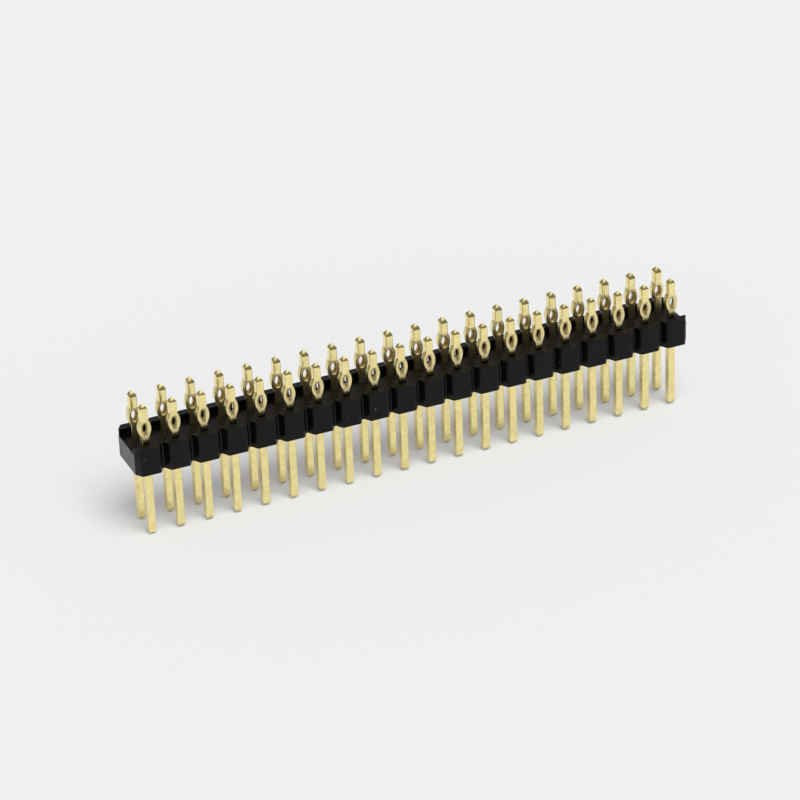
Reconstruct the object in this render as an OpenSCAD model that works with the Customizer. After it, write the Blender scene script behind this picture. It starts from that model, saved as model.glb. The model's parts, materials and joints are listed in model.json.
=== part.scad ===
// Double-row pin header strip with press-fit tails.
//
// One moulded housing carries two rows of square pins. Below it each pin is a plain
// contact for a socket. Above it each pin is a press-fit tail: a pierced eye that
// springs shut when the tail is pushed into a plated hole of a circuit board.
// The strip stands on its contact ends, so its board side is up.
//
// The two broad faces of a pin differ. The coined face has a wide shallow dish around the
// piercing, the tapered face a deep narrow funnel. Coined faces point away from the
// middle of the strip, so the back row is the front row turned round.
//
// X runs along the strip, Y from the front row to the back row. The origin is the
// middle of the grid, level with the lower ends of the pins.

/* [Grid] */
// Positions along the strip
positions = 20; // [2:1:29]
// Distance between neighbouring pins, along and across the strip
pitch = 2.54; // [2.5:0.01:3]

/* [Pins] */
// Width and depth of the square wire
wire_w = 0.64; // [0.6:0.01:0.7]
// Radius of the wire's long edges
wire_edge_r = 0.07; // [0.02:0.01:0.12]
// Length of the contact end below the housing
contact_h = 6.15; // [4:0.05:9]
// Length of the tail above the housing
tail_h = 3.57; // [3.3:0.01:6]

/* [Ends of the pins] */
// Height of the facets on the two sides of an end
side_facet_h = 0.36; // [0.1:0.01:0.4]
// Width of the blunt tip between the side facets
tip_w = 0.14; // [0.04:0.01:0.3]
// Depth of the blunt tip
tip_d = 0.05; // [0.02:0.01:0.08]
// How far the tip is off the middle of the wire, towards the coined face
tip_shift = 0.03; // [0:0.01:0.08]
// Height of the slope from the tip towards the coined face
coined_slope_h = 0.24; // [0.05:0.01:0.3]
// Height of the steep facet below that slope
coined_facet_h = 0.12; // [0.05:0.01:0.2]
// Depth of the steep facet
coined_facet_d = 0.04; // [0.02:0.01:0.15]
// Height of the slope from the tip towards the tapered face
tapered_slope_h = 0.17; // [0.05:0.01:0.3]
// Height of the long facet below that slope
tapered_facet_h = 0.3; // [0.1:0.01:0.4]
// Depth of the long facet
tapered_facet_d = 0.17; // [0.05:0.01:0.2]

/* [Eye of the tail] */
// Width across the swollen eye
eye_w = 1.12; // [0.9:0.02:1.3]
// Radius of the eye's bowed flanks
flank_r = 1.44; // [1.2:0.02:2]
// Height of the eye's middle above the face that seats on the board
eye_rise = 1.35; // [1:0.01:1.8]
// Rounding of the flanks at the coined face
coined_round = 0.1; // [0.04:0.01:0.16]
// Rounding of the flanks at the tapered face
tapered_round = 0.16; // [0.04:0.01:0.2]

/* [Piercing of the eye] */
// Width of the slot at its land, the straight part
slot_w = 0.36; // [0.2:0.02:0.5]
// Height of the slot at its land
slot_h = 0.86; // [0.6:0.02:1]
// Radius of the slot's long sides at its land
slot_side_r = 0.78; // [0.6:0.01:1]
// How far the dish spreads on every side
dish_spread = 0.19; // [0.05:0.01:0.2]
// Depth of the dish
dish_d = 0.1; // [0.05:0.01:0.15]
// How far the funnel spreads on every side
funnel_spread = 0.14; // [0.05:0.01:0.2]
// Depth of the funnel
funnel_d = 0.27; // [0.1:0.01:0.4]

/* [Housing] */
// Height of the moulding
body_h = 2.45; // [2:0.05:3.2]
// Depth of the moulding, front to back
body_d = 4.96; // [4.6:0.02:5.08]
// Width of the flat outer face of each cell
cell_face_w = 1.36; // [1:0.02:1.6]
// Radius of the corners of each cell
cell_corner_r = 0.25; // [0.1:0.01:0.4]
// Width of the web left between two cells at the bottom of a notch
web_w = 0.16; // [0.1:0.02:0.5]
// Depth of the notches between cells
notch_d = 0.62; // [0.5:0.01:0.7]
// Width of the channel between the rim tabs
channel_w = 3.46; // [3.3:0.02:3.7]
// Depth of the channel that keeps the pin roots clear of the board
channel_h = 0.6; // [0.3:0.05:1]
// Gap that the two ends leave to the full grid length, for strips laid end to end
end_relief = 0.04; // [0:0.01:0.06]

/* [Hidden] */
$fn = 64;

rows = ["front", "back"];
body_base_z = contact_h;
seat_z = contact_h + body_h;
floor_z = seat_z - channel_h;
pin_h = seat_z + tail_h;
body_l = positions * pitch - 2 * end_relief;
spine_d = body_d - 2 * notch_d;
cell_w = pitch - web_w;
eye_z = seat_z + eye_rise;
half_wire = wire_w / 2;
over = 1; // how far a cut runs past the housing
arc_bite = 0.002; // how far the notch walls reach into the arcs at the cell corners
slot_over = 0.05; // how far the piercing runs past the faces of a pin

function two_digits(n) = n < 10 ? str("0", n) : str(n);
function pin_name(row, i) = str("pin_", rows[row], "_", two_digits(i + 1));
function pin_x(i) = (i - (positions - 1) / 2) * pitch;
function row_y(row) = (row - 0.5) * pitch;
function reversed(list) = [for (i = [len(list) - 1 : -1 : 0]) list[i]];

// Plan of the wire: a square with rounded corners.
module wire_plan() {
    inner = half_wire - wire_edge_r;
    square([wire_w, 2 * inner], center = true);
    square([2 * inner, wire_w], center = true);
    for (x = [-inner, inner], y = [-inner, inner]) translate([x, y]) circle(wire_edge_r);
}

// One end of a pin from the front and from the side, as depths below its tip.
// From the side the coined face is at -X: steep facet, slope, tip, slope and long facet.
front_end = [
    [-half_wire, side_facet_h], [-tip_w / 2, 0],
    [tip_w / 2, 0], [half_wire, side_facet_h],
];
side_end = [
    [-half_wire, coined_slope_h + coined_facet_h], [coined_facet_d - half_wire, coined_slope_h],
    [-tip_shift - tip_d / 2, 0], [-tip_shift + tip_d / 2, 0],
    [half_wire - tapered_facet_d, tapered_slope_h], [half_wire, tapered_slope_h + tapered_facet_h],
];

// Outline of a whole pin with the same form at both ends.
module pin_outline(end) {
    polygon(concat(end, [for (p = reversed(end)) [p.x, pin_h - p.y]]));
}

module wire() {
    intersection() {
        linear_extrude(pin_h) wire_plan();
        rotate([90, 0, 0]) linear_extrude(wire_w, center = true) pin_outline(front_end);
        rotate([90, 0, 90]) linear_extrude(wire_w, center = true) pin_outline(side_end);
    }
}

// A disc as deep as the wire, lying on the Y axis, with both rims rounded.
module rounded_disc(r) {
    rotate([90, 0, 0]) rotate_extrude() {
        polygon([
            [0, -half_wire], [r - tapered_round, -half_wire], [r, tapered_round - half_wire],
            [r, half_wire - coined_round], [r - coined_round, half_wire], [0, half_wire],
        ]);
        translate([r - tapered_round, tapered_round - half_wire]) circle(tapered_round);
        translate([r - coined_round, half_wire - coined_round]) circle(coined_round);
    }
}

// Two discs overlap in the bowed outline of the eye.
module eye_swell() {
    centre_x = flank_r - eye_w / 2;
    intersection() {
        translate([-centre_x, 0, 0]) rounded_disc(flank_r);
        translate([centre_x, 0, 0]) rounded_disc(flank_r);
    }
}

// A spool on the Y axis: a land of radius r between a shallow dish and a deep funnel.
module flared_spool(r) {
    end_y = half_wire + slot_over;
    dish_r = r + dish_spread * (1 + slot_over / dish_d);
    funnel_r = r + funnel_spread * (1 + slot_over / funnel_d);
    rotate([90, 0, 0]) rotate_extrude() polygon([
        [0, -end_y], [funnel_r, -end_y], [r, funnel_d - half_wire],
        [r, half_wire - dish_d], [dish_r, end_y], [0, end_y],
    ]);
}

// The piercing: two long sides and round ends, all flared towards both faces.
module eye_slot() {
    centre_x = slot_side_r - slot_w / 2;
    intersection() {
        translate([-centre_x, 0, 0]) flared_spool(slot_side_r);
        translate([centre_x, 0, 0]) flared_spool(slot_side_r);
        flared_spool(slot_h / 2);
    }
}

module pin() {
    color("#d9c173") difference() {
        union() {
            wire();
            translate([0, 0, eye_z]) eye_swell();
        }
        translate([0, 0, eye_z]) eye_slot();
    }
}

// Middle of the arc that rounds a cell's corner, and the end of the notch wall at that arc.
// The wall runs from there to the corner of the web. It is all but tangent to the arc: it
// ends just inside, so that the two always cross.
corner_mid = [cell_face_w / 2, body_d / 2 - cell_corner_r];
web_corner = [cell_w / 2, spine_d / 2];
web_reach = web_corner - corner_mid;
touch_angle = atan2(web_reach.y, web_reach.x) + acos(cell_corner_r / norm(web_reach));
corner_touch = corner_mid
    + (cell_corner_r - arc_bite) * [cos(touch_angle), sin(touch_angle)];

// Plan of one cell: slanted notch walls and round corners.
module cell_plan() {
    corner = [web_corner, corner_touch, [cell_face_w / 2, body_d / 2]];
    polygon(concat(
        corner, [for (p = reversed(corner)) [-p.x, p.y]],
        -corner, [for (p = reversed(corner)) [p.x, -p.y]]
    ));
    for (x = [-corner_mid.x, corner_mid.x], y = [-corner_mid.y, corner_mid.y])
        translate([x, y]) circle(cell_corner_r);
}

module cells() {
    for (i = [0 : positions - 1])
        translate([pin_x(i), 0, body_base_z]) linear_extrude(body_h) cell_plan();
}

// The spine joins the cells. Its ends stand a little proud, where the strip was broken off.
module spine() {
    translate([-body_l / 2, -spine_d / 2, body_base_z])
        cube([body_l, spine_d, floor_z - body_base_z]);
}

// The channel leaves a rim of tabs. The notches open into it between them.
module channel() {
    translate([-body_l / 2 - over, -channel_w / 2, floor_z])
        cube([body_l + 2 * over, channel_w, channel_h + over]);
}

module pin_holes() {
    for (row = [0, 1], i = [0 : positions - 1])
        translate([pin_x(i), row_y(row), body_base_z - over])
            linear_extrude(body_h + 2 * over) wire_plan();
}

module housing() {
    color("#212020") difference() {
        union() {
            cells();
            spine();
        }
        channel();
        pin_holes();
    }
}

// Row 0 is the front row. Row 1 is turned half round.
housing();
for (row = [0, 1], i = [0 : positions - 1])
    translate([pin_x(i), row_y(row), 0]) rotate([0, 0, 180 * row]) pin();
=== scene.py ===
"""Looks of a double-row pin header strip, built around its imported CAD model.

The CAD pieces keep their shape. They get softened edges and procedural materials, and stand
on a pale floor in plain studio light. Lengths are in metres unless a name says otherwise.
"""
import json
import math

import bpy
from mathutils import Matrix, Vector


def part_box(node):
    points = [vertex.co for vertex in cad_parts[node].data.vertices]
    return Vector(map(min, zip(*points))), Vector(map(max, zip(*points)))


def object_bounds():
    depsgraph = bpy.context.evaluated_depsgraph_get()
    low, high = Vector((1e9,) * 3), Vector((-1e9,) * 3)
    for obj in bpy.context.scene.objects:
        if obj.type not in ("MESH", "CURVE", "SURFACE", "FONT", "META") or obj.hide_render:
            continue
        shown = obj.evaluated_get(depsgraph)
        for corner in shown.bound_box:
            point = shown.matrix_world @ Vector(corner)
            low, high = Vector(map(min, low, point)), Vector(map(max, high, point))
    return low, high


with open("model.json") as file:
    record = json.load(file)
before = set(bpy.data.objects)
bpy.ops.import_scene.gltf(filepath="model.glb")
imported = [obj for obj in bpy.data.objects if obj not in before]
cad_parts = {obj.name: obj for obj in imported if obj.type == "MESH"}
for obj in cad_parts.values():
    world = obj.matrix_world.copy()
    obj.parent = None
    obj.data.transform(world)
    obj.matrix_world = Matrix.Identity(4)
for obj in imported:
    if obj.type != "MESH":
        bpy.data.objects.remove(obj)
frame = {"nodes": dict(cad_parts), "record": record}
cad_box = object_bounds()

MM = 0.001
PER_MM = 1000.0  # texture scale that makes one noise cell a millimetre

# ---------------------------------------------------------------- camera
AZIMUTH = math.radians(22.884)
ELEVATION = math.radians(28.686)
ROLL = math.radians(2.242)
LENS_MM = 158.32
SENSOR_MM = 36.0
DISTANCE = 297.25 * MM
# What the camera aims at, from the middle of the part's box
AIM = Vector((-0.822, 0.212, -0.187)) * MM

# ---------------------------------------------------------------- floor
FLOOR_HALF = 3.0
BACKGROUND = 0.855
PAPER_CHANGE = 0.002
# Share of the floor's tone that it gives off itself, which lightens the shadow
FLOOR_GLOW = 0.2

# ---------------------------------------------------------------- light
KEY_SHARE = 0.645
KEY_TINT = (0.985, 1.014, 0.975)
KEY_FROM = Vector((0.5, -3.8, 7.4)).normalized()
KEY_SPREAD = math.radians(38.0)
# The sky that lights the part. It changes between two heights, and from front to back.
SKY_HEIGHTS = (0.35, 0.7)
LOW_SKY = 0.655
HIGH_SKY = 0.255
SKY_DEPTH = 0.7
SKY_FRONT = 1.35
SKY_BEHIND = 0.7
SKY_TINT = (1.025, 0.975, 1.045, 1)
# What the part reflects: a softbox from the upper height on, the room or the backdrop below
ROOM = 0.2
ROOM_HEIGHTS = (0.62, 0.8)
BACKDROP = (0.265, 0.235, 0.19, 1)
BACKDROP_HEIGHTS = (0.42, 0.72)
ROOM_DEPTH = 0.25
SOFTBOX = 1.08

# ---------------------------------------------------------------- colours of the pins
GOLD = (0.96, 0.845, 0.40, 1)
DEEP_GOLD = (0.865, 0.735, 0.335, 1)
STREAK = (0.78, 0.64, 0.30, 1)
GRAIN = (0.68, 0.56, 0.27, 1)
STAIN = (0.60, 0.44, 0.25, 1)
STAMPED_GOLD = (0.80, 0.69, 0.36, 1)
SHEARED_METAL = (0.58, 0.45, 0.23, 1)
# Painted shade on the cut ends at the foot of each pin, where they stand on the floor
PAINTED_SHADE_AT_FOOT = (0.44, 0.38, 0.20, 1)

# ---------------------------------------------------------------- colours of the housing
PLASTIC_IOR = 1.265
PLASTIC = (0.0016, 0.0015, 0.0015, 1)
PALE_PLASTIC = (0.0030, 0.0028, 0.0028, 1)
DUST = (0.30, 0.29, 0.28, 1)
# Tones of the broken ends: partly a paler break, partly a painted sheen for their glancing reflection
TORN_PLASTIC_AND_SHEEN = (0.088, 0.085, 0.081, 1)
PALE_TORN_PLASTIC_AND_SHEEN = (0.145, 0.14, 0.132, 1)

# ---------------------------------------------------------------- where things are on the part
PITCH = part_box("pin_front_02")[0].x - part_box("pin_front_01")[0].x
ROW_Y = PITCH / 2
SEAT = frame["record"]["mounts"][0]["pos_m"][2]
CHANNEL_FLOOR = SEAT - 0.6 * MM
EYE_Z = SEAT + 1.35 * MM
EYE_TOP = EYE_Z + 0.72 * MM
PIERCING_HALF_WIDTH = 0.24 * MM
PIERCING_HALF_HEIGHT = 0.5 * MM
STRIP_END = cad_box[1].x

# ---------------------------------------------------------------- softened edges
WELD_DISTANCE = 0.0005 * MM
PIN_ROUNDING = 0.02 * MM
HOUSING_ROUNDING = 0.035 * MM
ROUNDING_SEGMENTS = 2
FLAT_ANGLE = math.radians(0.5)
EDGE_ANGLE = math.radians(28.0)


class Nodes:
    """A short way to write a node tree."""

    def __init__(self, tree):
        self.tree = tree
        tree.nodes.clear()

    def add(self, kind, **values):
        node = self.tree.nodes.new(kind)
        for name, value in values.items():
            setattr(node, name, value)
        return node

    def link(self, source, target):
        self.tree.links.new(source, target)

    def feed(self, socket, value):
        """Gives a socket a link from another socket, or a plain value."""
        if isinstance(value, bpy.types.NodeSocket):
            self.link(value, socket)
        else:
            socket.default_value = value

    def math(self, operation, a, b=0.0):
        node = self.add("ShaderNodeMath", operation=operation)
        self.feed(node.inputs[0], a)
        self.feed(node.inputs[1], b)
        return node.outputs[0]

    def plus(self, a, b):
        return self.math("ADD", a, b)

    def minus(self, a, b):
        return self.math("SUBTRACT", a, b)

    def times(self, a, b):
        return self.math("MULTIPLY", a, b)

    def over(self, a, b):
        return self.math("DIVIDE", a, b)

    def larger(self, a, b):
        return self.math("MAXIMUM", a, b)

    def size_of(self, a):
        return self.math("ABSOLUTE", a)

    def ramp(self, value, low, high, to_low=0.0, to_high=1.0):
        """A smooth step from to_low at low to to_high at high."""
        node = self.add("ShaderNodeMapRange", interpolation_type="SMOOTHSTEP")
        self.feed(node.inputs["Value"], value)
        self.feed(node.inputs["From Min"], low)
        self.feed(node.inputs["From Max"], high)
        self.feed(node.inputs["To Min"], to_low)
        self.feed(node.inputs["To Max"], to_high)
        return node.outputs["Result"]

    def mix(self, factor, a, b, blend_type="MIX"):
        node = self.add("ShaderNodeMix", data_type="RGBA", blend_type=blend_type)
        factor_socket, a_socket, b_socket = node.inputs[0], node.inputs[6], node.inputs[7]
        self.feed(factor_socket, factor)
        self.feed(a_socket, a)
        self.feed(b_socket, b)
        return node.outputs[2]

    def parts(self, vector):
        """The x, y and z of a vector."""
        node = self.add("ShaderNodeSeparateXYZ")
        self.link(vector, node.inputs[0])
        return node.outputs[0], node.outputs[1], node.outputs[2]

    def place(self):
        """Where a point is on the part."""
        return self.add("ShaderNodeTexCoord").outputs["Object"]

    def noise(self, vector, per_mm, detail=2.0, roughness=0.5):
        node = self.add("ShaderNodeTexNoise")
        self.link(vector, node.inputs["Vector"])
        node.inputs["Scale"].default_value = per_mm * PER_MM
        node.inputs["Detail"].default_value = detail
        node.inputs["Roughness"].default_value = roughness
        return node.outputs["Fac"]

    def distance_to_speck(self, vector, per_mm):
        """How far, in cells, a point is from the nearest of many scattered specks."""
        node = self.add("ShaderNodeTexVoronoi")
        self.link(vector, node.inputs["Vector"])
        node.inputs["Scale"].default_value = per_mm * PER_MM
        return node.outputs["Distance"]

    def stretched(self, vector, scale):
        node = self.add("ShaderNodeVectorMath", operation="MULTIPLY")
        self.link(vector, node.inputs[0])
        node.inputs[1].default_value = scale
        return node.outputs[0]

    def seen_directly(self):
        """1 for what the camera sees, also in a reflection, and 0 for light that a surface gathers."""
        path = self.add("ShaderNodeLightPath").outputs
        shown = self.larger(path["Is Camera Ray"], path["Is Glossy Ray"])
        return self.larger(shown, path["Is Transmission Ray"])

    def bump(self, height, distance):
        node = self.add("ShaderNodeBump")
        self.link(height, node.inputs["Height"])
        node.inputs["Distance"].default_value = distance
        node.inputs["Strength"].default_value = 1.0
        return node.outputs["Normal"]

    def surface(self, shader_output):
        output = self.add("ShaderNodeOutputMaterial")
        self.link(shader_output, output.inputs["Surface"])


def grey(value):
    return (value, value, value, 1.0)


def new_material(name):
    """A material and its empty node tree."""
    material = bpy.data.materials.new(name)
    material.use_nodes = True
    return material, Nodes(material.node_tree)


def dress(nodes, shader, tone, rough, normal):
    """Links what varies over a surface to its shader, and the shader to the surface."""
    nodes.link(tone, shader.inputs["Base Color"])
    nodes.link(rough, shader.inputs["Roughness"])
    nodes.link(normal, shader.inputs["Normal"])
    nodes.surface(shader.outputs[0])


# ---------------------------------------------------------------- pins
def stamped_area(nodes, place):
    """1 where a tail was stamped: about the eye, and on the inner face down to the channel."""
    _, y, z = nodes.parts(place)
    below_top = nodes.ramp(z, EYE_TOP, EYE_TOP + 0.06 * MM, 1.0, 0.0)
    inward = nodes.minus(ROW_Y, nodes.size_of(y))
    inner_face = nodes.ramp(inward, 0.1 * MM, 0.2 * MM)
    above_root = nodes.ramp(z, SEAT + 0.1 * MM, SEAT + 0.6 * MM)
    above_channel = nodes.ramp(z, CHANNEL_FLOOR - 0.2 * MM, CHANNEL_FLOOR)
    return nodes.times(nodes.times(below_top, nodes.larger(inner_face, above_root)), above_channel)


def piercing_wall(nodes, place):
    """1 within an upright ellipse about each eye's centre, which holds the wall of its piercing."""
    x, _, z = nodes.parts(place)
    cells_off = nodes.minus(nodes.math("FRACT", nodes.over(x, PITCH)), 0.5)
    across = nodes.over(nodes.times(cells_off, PITCH), PIERCING_HALF_WIDTH)
    up = nodes.over(nodes.minus(z, EYE_Z), PIERCING_HALF_HEIGHT)
    reach = nodes.plus(nodes.times(across, across), nodes.times(up, up))
    return nodes.ramp(reach, 0.75, 1.2, 1.0, 0.0)


def gold_plating():
    """Pale gold on drawn wire, with streaks along it, soft blotches, fine grain and a few stains.

    The eye was stamped, which left it duller, and the wall of its piercing is sheared metal.
    The cut ends that the strip stands on are painted darker, as painted shade where they meet the floor.
    """
    material, nodes = new_material("gold_plating")
    shader = nodes.add("ShaderNodeBsdfPrincipled")
    shader.inputs["Metallic"].default_value = 1.0
    place = nodes.place()
    along_wire = nodes.stretched(place, (1.0, 1.0, 0.05))
    streaks = nodes.noise(along_wire, 22.0, 3.0)
    blotches = nodes.noise(place, 2.2, 3.0)
    grain = nodes.noise(place, 30.0)
    stains = nodes.noise(place, 4.5, 1.0)
    stamped = stamped_area(nodes, place)
    sheared = piercing_wall(nodes, place)
    height = nodes.parts(place)[2]
    above_cut = nodes.minus(height, nodes.times(blotches, 0.5 * MM))

    tone = nodes.mix(nodes.ramp(blotches, 0.35, 0.7), GOLD, DEEP_GOLD)
    tone = nodes.mix(nodes.ramp(streaks, 0.45, 0.8, 0.0, 0.35), tone, STREAK)
    tone = nodes.mix(nodes.ramp(grain, 0.62, 0.8, 0.0, 0.6), tone, GRAIN)
    tone = nodes.mix(nodes.ramp(stains, 0.66, 0.76, 0.0, 0.55), tone, STAIN)
    tone = nodes.mix(nodes.times(stamped, 0.5), tone, STAMPED_GOLD)
    tone = nodes.mix(sheared, tone, SHEARED_METAL)
    # Painted shade: the cut ends at the foot of each pin are darker where they stand on the floor
    tone = nodes.mix(nodes.ramp(above_cut, -0.05 * MM, 0.2 * MM, 0.85, 0.0), tone, PAINTED_SHADE_AT_FOOT)

    rough = nodes.plus(nodes.ramp(streaks, 0.3, 0.7, 0.08, 0.16), nodes.ramp(blotches, 0.4, 0.7, 0.0, 0.04))
    rough = nodes.plus(rough, nodes.times(stamped, 0.2))
    rough = nodes.plus(rough, nodes.times(sheared, 0.15))

    relief = nodes.plus(streaks, nodes.times(grain, 0.6))
    dress(nodes, shader, tone, rough, nodes.bump(relief, 0.0008 * MM))
    return material


# ---------------------------------------------------------------- housing
def moulded_plastic():
    """Black moulded plastic, with an even fine texture, slow gloss changes and a few dust specks.

    The two ends are where the strip was broken off a longer one: matt and torn, and paler, partly as a
    paler break and partly as a painted sheen for their glancing reflection.
    """
    material, nodes = new_material("black_moulding")
    shader = nodes.add("ShaderNodeBsdfPrincipled")
    shader.inputs["IOR"].default_value = PLASTIC_IOR
    place = nodes.place()
    texture = nodes.noise(place, 14.0, 3.0, 0.6)
    clouds = nodes.noise(place, 0.7)
    flow = nodes.noise(nodes.stretched(place, (0.25, 1.0, 1.0)), 3.0)
    tear = nodes.noise(nodes.stretched(place, (1.0, 0.4, 1.0)), 6.0, 4.0, 0.7)
    dust = nodes.ramp(nodes.distance_to_speck(place, 0.9), 0.04, 0.075, 1.0, 0.0)
    off_middle = nodes.size_of(nodes.parts(place)[0])
    broken = nodes.ramp(off_middle, STRIP_END - 0.02 * MM, STRIP_END - 0.01 * MM)

    tone = nodes.mix(nodes.ramp(clouds, 0.3, 0.7), PLASTIC, PALE_PLASTIC)
    tone = nodes.mix(nodes.times(dust, 0.35), tone, DUST)
    # Painted sheen: the broken ends are paler, partly as a paler break and partly standing in for their
    # glancing reflection
    torn_tone_and_sheen = nodes.mix(nodes.ramp(tear, 0.3, 0.7), TORN_PLASTIC_AND_SHEEN, PALE_TORN_PLASTIC_AND_SHEEN)
    tone = nodes.mix(broken, tone, torn_tone_and_sheen)

    rough = nodes.plus(nodes.ramp(clouds, 0.3, 0.7, 0.24, 0.32), nodes.ramp(flow, 0.3, 0.7, 0.0, 0.06))
    rough = nodes.plus(rough, nodes.times(broken, 0.1))

    relief = nodes.plus(texture, nodes.times(flow, 2.0))
    relief = nodes.plus(relief, nodes.times(nodes.times(broken, tear), 6.0))
    dress(nodes, shader, tone, rough, nodes.bump(relief, 0.0018 * MM))
    return material


# ---------------------------------------------------------------- pieces
def merge_flat_faces(piece):
    """Joins the CAD mesh's triangles that lie in one plane, so that the rounding runs evenly."""
    flat = piece.modifiers.new("flat", "DECIMATE")
    flat.decimate_type = "DISSOLVE"
    flat.angle_limit = FLAT_ANGLE


def round_edges(piece, width):
    bevel = piece.modifiers.new("bevel", "BEVEL")
    bevel.width = width
    bevel.segments = ROUNDING_SEGMENTS
    bevel.limit_method = "ANGLE"
    bevel.angle_limit = EDGE_ANGLE
    bevel.miter_outer = "MITER_ARC"
    normals = piece.modifiers.new("normals", "WEIGHTED_NORMAL")
    normals.mode = "FACE_AREA_WITH_ANGLE"
    normals.weight = 80


def finish_piece(piece, material):
    """Gives a piece its material and slot, smooth shading, and a mesh without doubled points."""
    piece.data.materials.clear()
    piece.data.materials.append(material)
    for polygon in piece.data.polygons:
        polygon.use_smooth = True
    weld = piece.modifiers.new("weld", "WELD")
    weld.merge_threshold = WELD_DISTANCE


def finish_pieces():
    gold = gold_plating()
    plastic = moulded_plastic()
    for name, piece in frame["nodes"].items():
        if name.startswith("pin_"):
            finish_piece(piece, gold)
            merge_flat_faces(piece)
            round_edges(piece, PIN_ROUNDING)
        else:
            finish_piece(piece, plastic)
            round_edges(piece, HOUSING_ROUNDING)


# ---------------------------------------------------------------- floor and studio
def pale_paper():
    """Matt pale paper. A share of what the camera sees of it is its own even glow."""
    material, nodes = new_material("pale_floor")
    paper = nodes.mix(nodes.noise(nodes.place(), 3.0, 3.0),
                      grey(BACKGROUND * (1 - PAPER_CHANGE)), grey(BACKGROUND * (1 + PAPER_CHANGE)))
    shader = nodes.add("ShaderNodeBsdfPrincipled")
    nodes.link(paper, shader.inputs["Base Color"])
    shader.inputs["Roughness"].default_value = 1.0
    shader.inputs["Specular IOR Level"].default_value = 0.0
    glow = nodes.add("ShaderNodeEmission")
    nodes.link(paper, glow.inputs["Color"])
    both = nodes.add("ShaderNodeMixShader")
    nodes.link(nodes.times(nodes.seen_directly(), FLOOR_GLOW), both.inputs[0])
    nodes.link(shader.outputs[0], both.inputs[1])
    nodes.link(glow.outputs[0], both.inputs[2])
    nodes.surface(both.outputs[0])
    return material


def make_floor():
    half = FLOOR_HALF
    mesh = bpy.data.meshes.new("floor")
    corners = [(-half, -half, 0), (half, -half, 0), (half, half, 0), (-half, half, 0)]
    mesh.from_pydata(corners, [], [(0, 1, 2, 3)])
    mesh.materials.append(pale_paper())
    floor = bpy.data.objects.new("floor", mesh)
    bpy.context.scene.collection.objects.link(floor)


def make_world():
    """The sky that lights the part is strongest low down and in front. What the part reflects is
    a softbox overhead, a dim warm backdrop behind and a dark room on the side of the camera."""
    world = bpy.data.worlds.new("studio")
    bpy.context.scene.world = world
    world.use_nodes = True
    nodes = Nodes(world.node_tree)
    _, y, z = nodes.parts(nodes.add("ShaderNodeTexCoord").outputs["Generated"])

    front = nodes.ramp(z, *ROOM_HEIGHTS, ROOM, SOFTBOX)
    behind = nodes.mix(nodes.ramp(z, *BACKDROP_HEIGHTS), BACKDROP, grey(SOFTBOX))
    reflected = nodes.mix(nodes.ramp(y, -ROOM_DEPTH, ROOM_DEPTH), front, behind)
    camera_ray = nodes.add("ShaderNodeLightPath").outputs["Is Camera Ray"]
    seen = nodes.mix(camera_ray, reflected, grey(BACKGROUND))

    by_height = nodes.ramp(z, *SKY_HEIGHTS, LOW_SKY, HIGH_SKY)
    by_depth = nodes.ramp(y, -SKY_DEPTH, SKY_DEPTH, SKY_FRONT, SKY_BEHIND)
    sky = nodes.mix(1.0, nodes.times(by_height, by_depth), SKY_TINT, "MULTIPLY")

    background = nodes.add("ShaderNodeBackground")
    nodes.link(nodes.mix(nodes.seen_directly(), sky, seen), background.inputs["Color"])
    output = nodes.add("ShaderNodeOutputWorld")
    nodes.link(background.outputs[0], output.inputs["Surface"])


def make_key():
    """A broad lamp from above and in front. It casts the shadow and isn't reflected itself."""
    lamp = bpy.data.lights.new("softbox", "SUN")
    lamp.energy = math.pi * KEY_SHARE / KEY_FROM.z
    lamp.angle = KEY_SPREAD
    lamp.color = KEY_TINT
    key = bpy.data.objects.new("softbox", lamp)
    key.rotation_mode = "QUATERNION"
    key.rotation_quaternion = KEY_FROM.to_track_quat("Z", "Y")
    key.visible_glossy = False
    bpy.context.scene.collection.objects.link(key)


def make_camera():
    level = math.cos(ELEVATION)
    forward = Vector((math.sin(AZIMUTH) * level, math.cos(AZIMUTH) * level, -math.sin(ELEVATION)))
    right = Vector((math.cos(AZIMUTH), -math.sin(AZIMUTH), 0.0))
    up = right.cross(forward)
    turned_right = math.cos(ROLL) * right - math.sin(ROLL) * up
    turned_up = math.sin(ROLL) * right + math.cos(ROLL) * up
    data = bpy.data.cameras.new("camera")
    data.lens = LENS_MM
    data.sensor_width = SENSOR_MM
    data.clip_start = 0.01
    data.clip_end = 20.0
    camera = bpy.data.objects.new("camera", data)
    place = (cad_box[0] + cad_box[1]) / 2 + AIM - forward * DISTANCE
    axes = Matrix((turned_right, turned_up, -forward)).transposed()
    camera.matrix_world = Matrix.Translation(place) @ axes.to_4x4()
    bpy.context.scene.collection.objects.link(camera)
    bpy.context.scene.camera = camera


finish_pieces()
make_floor()
make_world()
make_key()
make_camera()
bpy.context.scene.view_settings.view_transform = "Standard"
